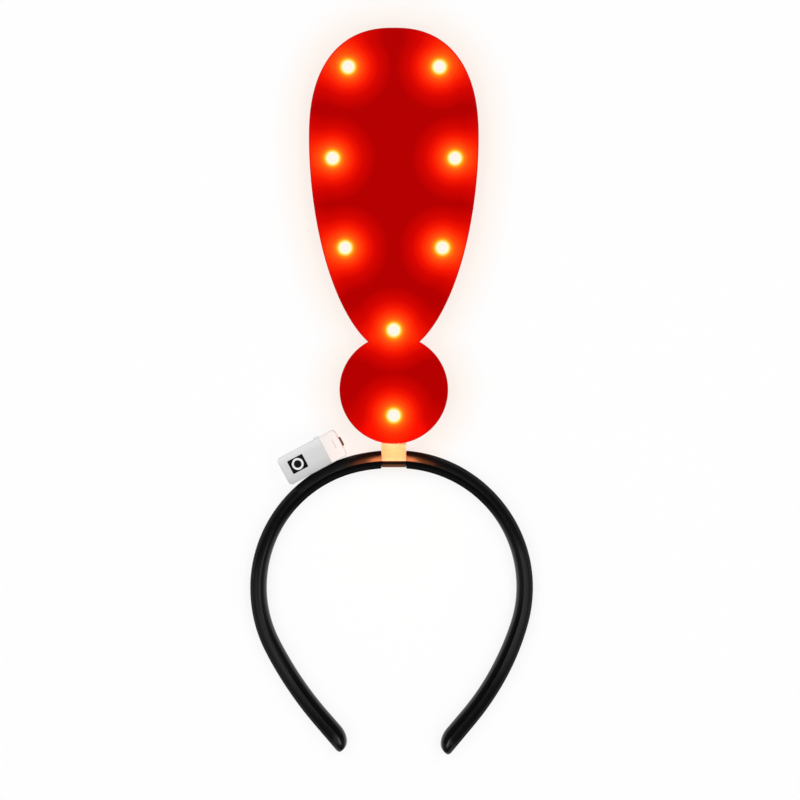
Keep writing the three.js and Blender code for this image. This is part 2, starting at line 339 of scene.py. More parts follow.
@dataclass(frozen=True)
class BandPlastic:
    """Moulded black ABS with a satin skin: deep black, soft streaks of light, fine parting lines."""

    colour: str = "070707"
    line_colour: str = "020202"
    roughness_low: float = 0.2
    roughness_high: float = 0.28
    patch: float = 14.0
    patch_layers: float = 3.0
    line_offset: float = 0.7
    line_half: float = 0.36
    line_depth: float = 0.08
    line_dull: float = 0.9
    strip_gloss: float = 0.5
    # The satin's grain is drawn coarser than the real one, so that it shows.
    grain: Grain = Grain(0.5, 0.004)

    def material(self) -> Material:
        """Build the material.

        Returns:
            The finished material.
        """
        nodes = Nodes(bpy.data.materials.new("satin_black_abs"))
        values = {"Scale": 1 / (self.patch * MM), "Detail": self.patch_layers}
        cloud = nodes.add("TexNoise", values, {"Vector": nodes.place})
        values = {"To Min": self.roughness_low, "To Max": self.roughness_high}
        rough = nodes.add("MapRange", values, {"Value": cloud})
        across, shown, gloss = (
            nodes.add("Attribute", out="Fac", attribute_name=name)
            for name in ("across", "parting", "gloss")
        )
        side = nodes.add("Math", links={0: across}, operation="ABSOLUTE")
        away = nodes.add("Math", {1: self.line_offset}, {0: side}, operation="SUBTRACT")
        near = nodes.add("Math", links={0: away}, operation="ABSOLUTE")
        values = {"From Min": self.line_half, "From Max": 0.0}
        drawn = nodes.add("MapRange", values, {"Value": near}, interpolation_type="SMOOTHSTEP")
        line = nodes.add("Math", links={0: drawn, 1: shown}, operation="MULTIPLY")
        values = {"A": linear(self.colour), "B": linear(self.line_colour)}
        tint = nodes.add("Mix", values, {"Factor": line}, data_type="RGBA")
        within = nodes.add("Math", {1: self.line_offset}, {0: side}, operation="LESS_THAN")
        strip = nodes.add("Math", links={0: within, 1: shown}, operation="MULTIPLY")
        raised = nodes.add("Mix", {"B": self.strip_gloss}, {"Factor": strip, "A": gloss})
        dulled = nodes.add("MapRange", {"To Min": 1.0, "To Max": 1 - self.line_dull}, {"Value": line})
        skin = nodes.add("Math", links={0: raised, 1: dulled}, operation="MULTIPLY")
        groove = nodes.add(
            "Bump",
            {"Strength": 1.0, "Distance": self.line_depth * MM},
            {"Height": line, "Normal": nodes.bumped(self.grain)},
            invert=True,
        )
        links = {"Base Color": tint, "Roughness": rough, "Specular IOR Level": skin, "Normal": groove}
        return nodes.shade({}, links)


@dataclass(frozen=True)
class StrapBrass:
    """Pale brass strip, brushed along its width, with painted light and shade by height: bright and warm
    under the mark where its light falls, a painted dark shadow in its fold, painted shade below.
    """

    dull: str = "a5814c"
    dull_share: float = 0.35
    roughness: float = 0.8
    # Brush marks: their width and layers, and the share that the strip's width is squeezed to for them.
    streak: float = 0.25
    streak_layers: float = 4.0
    streak_squeeze: float = 0.06
    streak_bump: float = 0.6
    streak_depth: float = 0.01
    top: float = -25.2
    bottom: float = -37.0
    # Height, from the mark down to the fold's bottom, and the painted light and shade there: bright where
    # the lowest light falls, a dark painted shadow in the fold, painted warm shade below.
    painted_light_and_shade: tuple = (
        (-25.7, "f6e4b4"), (-26.7, "f6d4a6"), (-27.8, "f6bc97"), (-30.0, "f6b99a"), (-32.0, "f6bc9f"),
        (-33.2, "f6c8ae"), (-33.6, "2c1d15"), (-34.84, "2c1d15"), (-35.16, "80533b"), (-36.4, "9b6c4e"),
    )

    def material(self) -> Material:
        """Build the material.

        Returns:
            The finished material.
        """
        nodes = Nodes(bpy.data.materials.new("brushed_pale_brass"))
        squeeze = {1: (self.streak_squeeze, 1.0, 1.0)}
        drawn = nodes.add("VectorMath", squeeze, {0: nodes.place}, operation="MULTIPLY")
        values = {"Scale": 1 / (self.streak * MM), "Detail": self.streak_layers}
        noise = nodes.add("TexNoise", values, {"Vector": drawn})
        share = nodes.share(Axis.ALONG, self.top, self.bottom)
        # Painted light and shade: the strip's colour changes by height as the light and the fold's shadow
        # fall on it.
        stops = spaced(self.painted_light_and_shade, self.top, self.bottom)
        tone = nodes.add("ValToRGB", links={"Fac": share}, stops=stops)
        dulled = nodes.add("Math", {1: self.dull_share}, {0: noise}, operation="MULTIPLY")
        values, links = {"B": linear(self.dull)}, {"Factor": dulled, "A": tone}
        tint = nodes.add("Mix", values, links, data_type="RGBA", blend_type="MULTIPLY")
        values = {"Strength": self.streak_bump, "Distance": self.streak_depth * MM}
        bump = nodes.add("Bump", values, {"Height": noise})
        values = {"Metallic": 1.0, "Roughness": self.roughness}
        return nodes.shade(values, {"Base Color": tint, "Normal": bump})


@dataclass(frozen=True)
class LitRedPlastic:
    """Moulded red acrylic, lit through by its lights: a warm bloom about each one that deepens to pure red.

    The walls throw the light back, so the bloom runs further along the edge than across the middle.
    """

    colour: str = "7e0000"
    reach: float = 22.0
    edge_reach: float = 8.0
    edge_pull: float = 0.18
    roughness: float = 0.2
    gloss: float = 0.04
    wall_top: float = 8.999
    wall_below: float = 8.965
    # The faint waviness that moulding leaves.
    grain: Grain = Grain(0.9, 0.006)
    # Distance from a light's middle, and the glow's colour there on the face.
    face_glow: tuple = (
        (2.6, "fff8cc"), (3.1, "fcea8a"), (3.5, "f8cf50"), (3.9, "eeab22"), (4.4, "e8870e"), (4.9, "e87213"),
        (6.1, "e8500f"), (8.5, "ea2e06"), (11.0, "dc1401"), (14.5, "b80500"), (21.0, "8c0000"),
    )
    # The same on the duller wall.
    wall_glow: tuple = ((6.5, "c41b0e"), (9.5, "b3150c"), (14.0, "a20f0b"), (20.0, "8e0a09"))

    def material(self, lights: list[Array]) -> Material:
        """Build the material.

        Args:
            lights: the middle of each light in the frame.

        Returns:
            The finished material, which glows by the distance to the nearest light.
        """
        nodes = Nodes(bpy.data.materials.new("lit_red_acrylic"))
        distances = [
            nodes.add("VectorMath", {1: tuple(light * MM)}, {0: nodes.place}, operation="DISTANCE")
            for light in lights
        ]
        nearest = distances[0]
        for distance in distances[1:]:
            nearest = nodes.add("Math", links={0: nearest, 1: distance}, operation="MINIMUM")
        edge = nodes.add("Attribute", out="Fac", attribute_name="edge")
        values = {"From Max": self.edge_reach, "To Min": 1 - self.edge_pull, "To Max": 1.0}
        pull = nodes.add("MapRange", values, {"Value": edge}, interpolation_type="SMOOTHSTEP")
        drawn = nodes.add("Math", links={0: nearest, 1: pull}, operation="MULTIPLY")
        share = nodes.add("MapRange", {"From Max": self.reach * MM}, {"Value": drawn})
        face, wall = (
            nodes.add("ValToRGB", links={"Fac": share}, stops=spaced(glow, 0.0, self.reach))
            for glow in (self.face_glow, self.wall_glow)
        )
        below = nodes.share(Axis.OUT, self.wall_top, self.wall_below)
        glow = nodes.add("Mix", links={"Factor": below, "A": face, "B": wall}, data_type="RGBA")
        values = {
            "Base Color": linear(self.colour),
            "Roughness": self.roughness,
            "Specular IOR Level": self.gloss,
            "Emission Strength": 1.0,
        }
        return nodes.shade(values, {"Emission Color": glow, "Normal": nodes.bumped(self.grain)})


@dataclass(frozen=True)
class LitDome:
    """Clear epoxy dome of a light that is on: ivory over its crown, with a warm yellow rim at its foot."""

    colour: str = "4a3414"
    strength: float = 0.96
    roughness: float = 0.12
    foot: float = 8.9
    crown: float = 11.4
    # Share of the dome's height, and the glow's colour there.
    glow: tuple = ((0.0, "ffeebc"), (0.3, "fff4d8"), (0.6, "fff5e8"), (1.0, "faf1ec"))

    def material(self) -> Material:
        """Build the material.

        Returns:
            The finished material, which glows by the height over the mark's face.
        """
        nodes = Nodes(bpy.data.materials.new("lit_epoxy_dome"))
        share = nodes.share(Axis.OUT, self.foot, self.crown)
        glow = nodes.add("ValToRGB", links={"Fac": share}, stops=self.glow)
        values = {
            "Base Color": linear(self.colour), "Roughness": self.roughness,
            "Emission Strength": self.strength,
        }
        return nodes.shade(values, {"Emission Color": glow})


@dataclass(frozen=True)
class BoxPlastic:
    """Moulded ABS with a spark-eroded skin: even, matte, a fine tooth where light grazes it."""

    name: str
    colour: str
    shade: str
    roughness: float = 0.5
    # The tooth is drawn coarser than the real one, so that it shows.
    tooth: Grain = Grain(0.35, 0.012)
    cloud: float = 9.0
    cloud_layers: float = 2.0

    def tint(self, nodes: Nodes) -> NodeSocket:
        """The colour, which goes to its shade in soft clouds.

        Args:
            nodes: the material's nodes.

        Returns:
            The colour at each place.
        """
        values = {"Scale": 1 / (self.cloud * MM), "Detail": self.cloud_layers}
        cloud = nodes.add("TexNoise", values, {"Vector": nodes.place})
        values = {"A": linear(self.colour), "B": linear(self.shade)}
        return nodes.add("Mix", values, {"Factor": cloud}, data_type="RGBA")

    def material(self) -> Material:
        """Build the material.

        Returns:
            The finished material.
        """
        nodes = Nodes(bpy.data.materials.new(self.name))
        links = {"Base Color": self.tint(nodes), "Normal": nodes.bumped(self.tooth)}
        return nodes.shade({"Roughness": self.roughness}, links)


@dataclass(frozen=True)
class CoverPlastic(BoxPlastic):
    """The cover's white ABS with painted light and shade across it: palest along its outer edge, greyer
    towards the band.
    """

    way: tuple = (0.47055, -0.88237, 0.0)
    outer: float = 3.8
    inner: float = 16.3
    pale: str = "e6e6e6"
    grey: str = "c4c4c4"
    colour_at: float = 0.32
    shade_at: float = 0.7

    def tint(self, nodes: Nodes) -> NodeSocket:
        """The colour, with painted shade by the distance across the cover towards the band.

        Args:
            nodes: the material's nodes.

        Returns:
            The colour at each place.
        """
        across = nodes.add("VectorMath", {1: self.way}, {0: nodes.place}, operation="DOT_PRODUCT")
        values = {"From Min": self.outer * MM, "From Max": self.inner * MM}
        share = nodes.add("MapRange", values, {"Value": across})
        # Painted light and shade: pale at the outer edge, grey by the band.
        stops = [
            (0.0, self.pale), (self.colour_at, self.colour), (self.shade_at, self.shade), (1.0, self.grey)
        ]
        return nodes.add("ValToRGB", links={"Fac": share}, stops=stops)


@dataclass(frozen=True)
class PrintedPatch:
    """Black ink on a white film: a plain square with one ring left white."""

    ink: str = "0a0a0a"
    film: str = "e8e8e8"
    ring_low: float = 0.54
    ring_high: float = 0.83
    roughness: float = 0.4
    gloss: float = 0.1
    grain: Grain = Grain(0.4, 0.004, 1.0)

    def material(self) -> Material:
        """Build the material.

        Returns:
            The finished material, inked by the patch's own share from its middle to its edge.
        """
        nodes = Nodes(bpy.data.materials.new("printed_film"))
        share = nodes.add("Attribute", out="Fac", attribute_name="share")
        stops = [(0.0, self.ink), (self.ring_low, self.film), (self.ring_high, self.ink)]
        tint = nodes.add("ValToRGB", links={"Fac": share}, stops=stops)
        tint.node.color_ramp.interpolation = "CONSTANT"
        values = {"Roughness": self.roughness, "Specular IOR Level": self.gloss}
        links = {"Base Color": tint, "Normal": nodes.bumped(self.grain)}
        return nodes.shade(values, links)


@dataclass(frozen=True)
class OpalSheet:
    """Opal acrylic lit from below, the studio's floor: pale and even, so that shadows on it stay faint."""

    colour: str = "707070"
    glow: float = 0.834
    far_glow: float = 1.0
    near: float = 300.0
    far: float = 2200.0
    halo: str = "fff7f0"
    roughness: float = 0.9
    gloss: float = 0.1

    def material(self) -> Material:
        """Build the material.

        Returns:
            The finished material, which takes the lights' warm tone close to the mark.
        """
        nodes = Nodes(bpy.data.materials.new("opal_white_sheet"))
        # Painted light: a pale peach pool of the mark's glow on the floor, read from the halo mark.
        close = nodes.add("Attribute", out="Fac", attribute_name="halo")
        values = {"A": linear(WHITE), "B": linear(self.halo)}
        tint = nodes.add("Mix", values, {"Factor": close}, data_type="RGBA")
        away = nodes.add("VectorMath", links={0: nodes.place}, operation="LENGTH")
        values = {
            "From Min": self.near * MM, "From Max": self.far * MM,
            "To Min": self.glow, "To Max": self.far_glow,
        }
        power = nodes.add("MapRange", values, {"Value": away}, interpolation_type="SMOOTHSTEP")
        values = {
            "Base Color": linear(self.colour), "Roughness": self.roughness, "Specular IOR Level": self.gloss
        }
        return nodes.shade(values, {"Emission Color": tint, "Emission Strength": power})


@dataclass
class Band:
    """The springy band: a section of two bulges carried along a line of arcs, with a seat for the strap."""

    zero: Array
    depth: float = 10.0
    outer_share: float = 0.57
    seat_half: float = 6.0
    seat_shoulder: float = 0.05
    seat_outer: float = 1.0
    seat_inner: float = 1.26
    seat_ridge: float = 1.4
    step: float = 1.2
    section_points: int = 72
    # Each side's arcs, from the crown to the tip.
    left: tuple = (Stretch(80, 15.8), Stretch(61.2, 113), Stretch(175, 42), Stretch(math.inf, 18.2))
    right: tuple = (Stretch(80, 6.7), Stretch(61.2, 109.1), Stretch(127, 51.2), Stretch(math.inf, 20.2))
    thickness_at: tuple = (0.0, 58.0, 100.0, 140.0, 190.0)
    thickness: tuple = (8.6, 7.65, 8.0, 8.8, 9.2)
    tip_outer: Rounding = Rounding(2.0, 1.2)
    tip_inner: Rounding = Rounding(9.5, 6.1)
    tip_depth: Rounding = Rounding(5.0, 2.5)
    tip_steps: int = 24
    ridge_power: float = 2.0
    tip_power: float = 1.3
    ridge_end: float = 8.0
    ridge_ease: float = 5.0
    gloss_ridge: float = 0.5
    gloss_fold: float = 0.1
    gloss_low: float = 0.0
    gloss_rubbed: float = 0.5
    # Headings in degrees over which the inner edge turns glossy.
    rubbed_from: float = 45.0
    rubbed_over: float = 40.0
    parting_from: float = 62.0
    parting_to: float = 160.0
    parting_ease: float = 25.0
    crease: float = 50.0
    plastic: BandPlastic = BandPlastic()

    def line(self, along: Array, stretches: tuple) -> tuple[Array, Array, Array]:
        """The middle line to one side: each arc adds its chord and turns the heading on.

        Args:
            along: lengths from the crown.
            stretches: the side's arcs, from the crown to the tip.

        Returns:
            Distance out, height and heading at each length.
        """
        out = np.zeros_like(along)
        up = np.full_like(along, -self.thickness[0] / 2)
        heading = np.zeros_like(along)
        left = along.copy()
        for stretch in stretches:
            used = np.clip(left, 0, stretch.length)
            sweep = used / stretch.radius
            chord = used * np.sinc(sweep / TURN)
            out += chord * np.cos(heading + sweep / 2)
            up -= chord * np.sin(heading + sweep / 2)
            heading += sweep
            left = left - used
        return out, up, heading

    def thick(self, along: Array) -> Array:
        """The thickness, eased between the table's rows.

        Args:
            along: lengths from the crown.

        Returns:
            The thickness at each length.
        """
        rows, sizes = np.array(self.thickness_at), np.array(self.thickness)
        after = np.clip(np.searchsorted(rows, along), 1, len(rows) - 1)
        share = smoothstep((along - rows[after - 1]) / (rows[after] - rows[after - 1]))
        return sizes[after - 1] + share * (sizes[after] - sizes[after - 1])

    def stations(self, length: float) -> Array:
        """Lengths with a section: both sides of the seat's shoulder, then evenly, and closer in the tip.

        Args:
            length: of one side.

        Returns:
            Lengths from the crown.
        """
        even = np.arange(self.seat_half, length - self.tip_inner.length, self.step)
        tip = length - self.tip_inner.length * (1 - np.sin(np.linspace(0, 1, self.tip_steps) * TURN / 4))
        return np.concatenate([[self.seat_half - self.seat_shoulder], even, tip])

    def rubbed(self, share: Array, heading: Array) -> Array:
        """How glossy the skin is: least at the crown's inside and the outer edge, most where hair rubs it.

        Args:
            share: from 0 on the ridge to 1 on the outer edge and -1 on the inner edge.
            heading: of each section.

        Returns:
            The gloss at each point.
        """
        worn = smoothstep((np.degrees(heading)[:, None] - self.rubbed_from) / self.rubbed_over)
        edge = self.gloss_low + (self.gloss_rubbed - self.gloss_low) * worn
        outer = self.gloss_ridge + (self.gloss_low - self.gloss_ridge) * share
        inner = self.gloss_fold + (edge - self.gloss_fold) * smoothstep(-share)
        return np.where(share > 0, outer, inner)

    def sections(self, sign: int, stretches: tuple) -> tuple[Array, dict[str, Array]]:
        """All sections of one side: from the ridge each bulge runs to its edge with a power of the sine.

        The sine is squared along the band, and its power falls at the tip, where the ridge dies out.

        Args:
            sign: 1 to the right, -1 to the left.
            stretches: the side's arcs.

        Returns:
            Rings of points, and what the finish reads at each point.
        """
        length = sum(stretch.length for stretch in stretches)
        along = self.stations(length)
        left = length - along
        out, up, heading = self.line(along, stretches)
        half = self.thick(along) / 2
        outer = half - self.tip_outer.taken(left)
        inner = self.tip_inner.taken(left) - half
        ridge = outer + self.outer_share * (inner - outer)
        seated = along < self.seat_half
        outer = outer - seated * self.seat_outer
        inner = inner + seated * self.seat_inner
        deep = self.depth / 2 - self.tip_depth.taken(left) - seated * self.seat_ridge
        angle = np.arange(self.section_points) / self.section_points * TURN
        rise = np.where(np.sin(angle) > 0, outer[:, None], inner[:, None]) - ridge[:, None]
        fading = smoothstep((along - length + self.ridge_end) / self.ridge_ease)
        power = self.ridge_power + (self.tip_power - self.ridge_power) * fading
        across = rise * np.abs(np.sin(angle)) ** power[:, None]
        offset = ridge[:, None] + across
        aside = sign * (out[:, None] + offset * np.sin(heading)[:, None])
        height = up[:, None] + offset * np.cos(heading)[:, None]
        front = self.depth / 2 + deep[:, None] * np.cos(angle)
        rings = np.stack([aside, height, front], axis=-1)
        rings[:2, :, 0] = sign * along[:2, None]
        shown = smoothstep((along - self.parting_from) / self.parting_ease)
        shown *= smoothstep((self.parting_to - along) / self.parting_ease) * (sign < 0)
        marks = {
            "across": across,
            "parting": np.broadcast_to(shown[:, None], across.shape),
            "gloss": self.rubbed(np.sign(np.sin(angle)) * np.sin(angle) ** 2 + 0 * across, heading),
        }
        return rings, marks

    def build(self) -> None:
        """Make the band in the place of its node."""
        left, left_marks = self.sections(-1, self.left)
        right, right_marks = self.sections(1, self.right)
        rings = np.concatenate([left[::-1], right]) + self.zero
        piece = make_piece("band_skin", rings, self.plastic.material(), Slot.BAND, self.crease)
        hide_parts("band")
        for name, values in right_marks.items():
            mark_points(piece, name, np.concatenate([left_marks[name][::-1], values]))


@dataclass
class Strap:
    """The folded strip: a flat section with round edges, carried down, under the band and up again."""

    zero: Array
    width: float = 11.7
    sheet: float = 0.7
    edge: float = 0.1
    edge_steps: int = 4
    half_depth: float = 5.0
    tab_half: float = 0.8
    shoulder: float = 1.6
    reach: float = 8.9
    ridge_height: float = -4.902
    under: float = 3.3
    curve_steps: int = 24
    cuts: int = 3
    cut_share: float = 0.25
    brass: StrapBrass = StrapBrass()

    def path(self) -> Array:
        """The strip's outer line in height and depth: tab, straight side, parabola under the band, and back.

        Returns:
            Points in order, with their corners cut to small curves.
        """
        share = np.linspace(1, -1, self.curve_steps)
        under = np.stack([self.ridge_height - self.under * (1 - share**2), self.half_depth * share], axis=-1)
        front = np.array([[self.reach, self.tab_half], [self.shoulder, self.tab_half]])
        points = np.concatenate([front, under, front[::-1] * (1, -1)])
        for _ in range(self.cuts):
            near = (1 - self.cut_share) * points[:-1] + self.cut_share * points[1:]
            far = self.cut_share * points[:-1] + (1 - self.cut_share) * points[1:]
            inner = np.stack([near, far], axis=1).reshape(-1, 2)
            points = np.concatenate([points[:1], inner, points[-1:]])
        return points

    def build(self) -> None:
        """Make the strap in the place of its node."""
        path = self.path()
        run = np.gradient(path, axis=0)
        run /= np.linalg.norm(run, axis=1, keepdims=True)
        inward = np.stack([run[:, 1], -run[:, 0]], axis=-1)
        inward *= np.sign(np.sum(inward[:1] * (0, -1)))
        section = rounded_rectangle(self.width, self.sheet, self.edge, self.edge_steps)
        sunk = section[None, :, 1, None] + self.sheet / 2
        place = path[:, None, :] + inward[:, None, :] * sunk
        aside = np.broadcast_to(section[:, 0], place.shape[:2])
        rings = np.stack([aside, place[..., 0], self.half_depth + place[..., 1]], axis=-1)
        piece = make_piece("strap_strip", rings + self.zero, self.brass.material(), Slot.STRAP)
        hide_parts("strap")


@dataclass
class Mark:
    """The exclamation mark: a wall and rounded edge carried round one outline, flat in front."""

    zero: Array
    depth: float = 9.0
    wall: float = 1.5
    edge: float = 0.6
    edge_steps: int = 6
    foot: float = 0.25
    dot_radius: float = 26.0
    dot_height: float = 29.05
    drop_height: float = 120.6
    drop_half: float = 40.65
    up_length: float = 52.7
    up_power: float = 2.37
    down_length: float = 103.4
    down_power: float = 1.91
    steps: int = 90
    meet_trials: int = 4000
    edge_stride: int = 3
    face_shares: tuple = (0.97, 0.92, 0.85, 0.75, 0.62, 0.45, 0.25, 0.04)
    face_draw: float = 0.05
    crease: float = 50.0

    def drop(self, angle: Array, length: float, power: float, inset: float) -> Array:
        """Half a superellipse: sine and cosine to the power of two over its power.

        Args:
            angle: from 0 on the widest line to a quarter turn on the axis.
            length: signed distance from the widest line to the end on the axis.
            power: of the superellipse.
            inset: how far the outline is drawn in.

        Returns:
            Points to the right of the axis, from the dot's middle.
        """
        across = (self.drop_half - inset) * np.cos(angle).clip(0) ** (2 / power)
        along = (abs(length) - inset) * np.sin(angle).clip(0) ** (2 / power)
        return np.stack([across, self.drop_height + math.copysign(1, length) * along], axis=-1)

    def outline(self, inset: float) -> Array:
        """The mark's outline: the drop down to where it meets the dot, then the dot's circle, and mirrored.

        Args:
            inset: how far it is drawn in.

        Returns:
            Points in order from the top, clockwise, from the dot's middle.
        """
        radius = self.dot_radius - inset
        trial = np.linspace(0, TURN / 4, self.meet_trials)
        far = np.linalg.norm(self.drop(trial, -self.down_length, self.down_power, inset), axis=1)
        meet = trial[np.argmax(far < radius)]
        upper = self.drop(np.linspace(TURN / 4, 0, self.steps), self.up_length, self.up_power, inset)
        lower = self.drop(np.linspace(0, meet, self.steps)[1:], -self.down_length, self.down_power, inset)
        waist = math.atan2(lower[-1, 1], lower[-1, 0])
        turn = np.linspace(waist, -TURN / 4, self.steps)[1:]
        dot = radius * np.stack([np.cos(turn), np.sin(turn)], axis=-1)
        right = np.concatenate([upper, lower, dot])
        return np.concatenate([right, right[-2:0:-1] * (-1, 1)])

    def profile(self) -> list[tuple[float, float]]:
        """The wall's section: inner wall, foot, outer wall, rounded front edge.

        Returns:
            Inset and height of each point.
        """
        turn = np.linspace(0, TURN / 4, self.edge_steps + 1)
        inset = self.edge * (1 - np.cos(turn))
        height = self.depth - self.edge * (1 - np.sin(turn))
        foot = [(self.wall, self.depth - self.wall), (self.wall, 0.0), (self.foot, 0.0), (0.0, self.foot)]
        return foot + list(zip(inset.tolist(), height.tolist()))

    def middle(self) -> Array:
        """The dot's middle in the frame, in millimetres."""
        return self.zero + (0, self.dot_height, 0)

    def to_edge(self, flat: Array) -> Array:
        """How far points lie from the nearest point of the outline: flat points from the dot's middle."""
        edge = self.outline(0.0)[::self.edge_stride]
        return np.linalg.norm(flat[:, None, :] - edge[None], axis=-1).min(axis=1)

    def rings(self) -> Array:
        """The shell's rings: round the wall's section, then the rim drawn in to the axis to fill the face.

        Returns:
            Rings of points from the dot's middle.
        """
        rings = [lifted(self.outline(inset), height) for inset, height in self.profile()]
        rim = rings[-1]
        centre = (rim[:, 1].min() + rim[:, 1].max()) / 2
        for share in self.face_shares:
            draw = self.face_draw * (1 - share)
            rings.append(rim * (share, 1 - draw, 1) + (0, centre * draw, 0))
        return np.array(rings)

    def build(self, material: Material) -> None:
        """Make the shell in the place of its node, and dress the plate in its back.

        Args:
            material: the lit plastic.
        """
        rings = self.rings()
        piece = make_piece("mark_skin", rings + self.middle(), material, Slot.MARK, self.crease)
        mark_points(piece, "edge", self.to_edge(rings.reshape(-1, 3)[:, :2]))
        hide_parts("mark_shell")
        dress("mark_back", material)


@dataclass
class Lights:
    """The dome lights through the mark's face: a round body and a half ball, turned about its axis."""

    count: int = 8
    radius: float = 2.5
    foot: float = 7.4
    start: float = 8.9
    sides: int = 40
    rows: int = 14
    # Share of the quarter turn where the last row lies, under a small flat cap.
    last_row: float = 0.98
    epoxy: LitDome = LitDome()

    def middles(self) -> list[Array]:
        """Where the lights stand.

        Returns:
            The middle of each light on the mark's face, in the frame, in millimetres.
        """
        corners = [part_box(f"led_{number + 1}") for number in range(self.count)]
        tops = [(np.array(low) + np.array(high)) / 2 / MM for low, high in corners]
        return [np.array([top[0], top[1], self.start]) for top in tops]

    def build(self) -> None:
        """Make every dome in the place of its node."""
        material = self.epoxy.material()
        rise = np.linspace(0, self.last_row, self.rows) * TURN / 4
        radius = np.concatenate([[self.radius], self.radius * np.cos(rise)])
        height = np.concatenate([[self.foot], self.start + self.radius * np.sin(rise)])
        turn, high = np.meshgrid(np.arange(self.sides) / self.sides * TURN, height)
        wide = radius[:, None]
        form = np.stack([wide * np.cos(turn), wide * np.sin(turn), high], axis=-1)
        for number, middle in enumerate(self.middles(), start=1):
            rings = form + (middle[0], middle[1], 0.0)
            dome = make_piece(f"light_dome_{number}", rings, material, Slot.DOME)
            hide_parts(f"led_{number}")


@dataclass
class BatteryBox:
    """The battery box: its moulded nodes in two whites, the cover's with painted shade and the tray's with
    the mark's glow painted on, its dark switch painted warm by that glow, and a small printed patch.
    """

    patch_along: float = -7.45
    patch_out: float = 0.35
    patch_length: float = 8.05
    patch_width: float = 6.8
    patch_points: int = 96
    patch_power: float = 24.0
    patch_height: float = 0.06
    shares: tuple = (0.1, 0.53, 0.55, 0.82, 0.84, 1.0)
    round_below: float = 0.84
    lip_along: float = 7.2
    lip_thick: float = 0.26
    lip_length: float = 13.2
    lip_low: float = 11.5
    lip_sunk: float = 0.25
    rib_along: float = 12.35
    rib_out: float = 0.4
    rib_thick: float = 0.3
    rib_length: float = 4.3
    rib_sunk: float = 0.5
    rib_proud: float = 0.05
    # A bar's corner radius as a share of its thickness, and the bevel round its top.
    bar_round: float = 0.45
    bar_bevel: float = 0.04
    bar_steps: int = 5
    film: PrintedPatch = PrintedPatch()
    lip: BoxPlastic = BoxPlastic("seam_white_abs", "f2ece9", "eae4e1")
    rib: BoxPlastic = BoxPlastic("rib_grey_abs", "d8ccc6", "cfc2bc")
    # Painted light: the tray is painted brighter and pinker where the mark's glow washes over it.
    tray: BoxPlastic = BoxPlastic("glow_lit_white_abs", "f9f3f0", "f6eeeb")
    cover: BoxPlastic = CoverPlastic("matte_white_abs", "d8d8d8", "d4d4d4")
    # Painted light: the black switch is coloured warm brown where the mark's glow lights it.
    knob: BoxPlastic = BoxPlastic("glow_lit_dark_abs", "6c3f29", "57321f", 0.45)

    def bar(self, name: str, middle: tuple, size: tuple, low: float, high: float, skin: BoxPlastic) -> None:
        """Make a small moulded bar: a rounded rectangle carried up, drawn in at its top.

        Args:
            name: the bar's name.
            middle: along the box and out from the band.
            size: along the box and out from the band.
            low: height of its foot.
            high: height of its top.
            skin: its plastic.
        """
        outline = rounded_rectangle(size[0], size[1], size[0] * self.bar_round, self.bar_steps)
        rows = ((0.0, low), (0.0, high - self.bar_bevel), (self.bar_bevel, high))
        rings = [
            lifted(self.turned(outline * (1 - 2 * inset / np.array(size)) + middle), height)
            for inset, height in rows
        ]
        make_piece(name, np.array(rings), skin.material(), Slot.BOX)

    def turned(self, flat: Array) -> Array:
        """Carry points from the box's own length and height to the frame.

        Args:
            flat: points along the box and out from the band, from the box's middle.

        Returns:
            Points across and along the frame, in millimetres.
        """
        axis = frame["record"]["behaviour"]["joints"][0]["axis"]
        along, out = np.array([-axis[1], axis[0]]), np.array([-axis[0], -axis[1]])
        low, high = (np.array(corner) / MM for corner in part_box("box_body"))
        return (low + high)[:2] / 2 + flat[..., :1] * along + flat[..., 1:] * out

    def build(self) -> None:
        """Make the lip in the cover's seam, the fine rib beside the switch, and the printed patch.

        The patch's rings are superellipses, from a square edge in to a round middle.
        """
        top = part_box("box_cover")[1][2] / MM
        lip_size, rib_size = (self.lip_thick, self.lip_length), (self.rib_thick, self.rib_length)
        self.bar("seam_lip", (self.lip_along, 0.0), lip_size, self.lip_low, top - self.lip_sunk, self.lip)
        rib_middle = (self.rib_along, self.rib_out)
        self.bar("switch_rib", rib_middle, rib_size, top - self.rib_sunk, top + self.rib_proud, self.rib)
        turn = np.arange(self.patch_points) / self.patch_points * TURN
        way = np.stack([np.cos(turn), np.sin(turn)], axis=-1)
        shares = (1.0,) + self.shares[::-1]
        heights = [top - self.patch_height] + [top + self.patch_height] * len(self.shares)
        rings = []
        for share, height in zip(shares, heights):
            square = max(0.0, (share - self.round_below) / (1 - self.round_below))
            length = self.patch_width + (self.patch_length - self.patch_width) * square
            power = 2 + (self.patch_power - 2) * square**2
            form = np.sign(way) * np.abs(way) ** (2 / power) * np.array([length, self.patch_width]) / 2
            rings.append(lifted(self.turned(form * share + (self.patch_along, self.patch_out)), height))
        piece = make_piece("cover_patch", np.array(rings), self.film.material(), Slot.BOX)
        mark_points(piece, "share", np.repeat(np.array(shares), self.patch_points))

    def dress(self) -> None:
        """Dress the box's nodes, each in its own plastic."""
        for node, part in (("box_body", self.tray), ("box_cover", self.cover), ("switch_knob", self.knob)):
            dress(node, part.material())


class Outline(Enum):
    """The outlines of a panel of light."""

    SOFTBOX = "RECTANGLE"
    BEAM = "ELLIPSE"


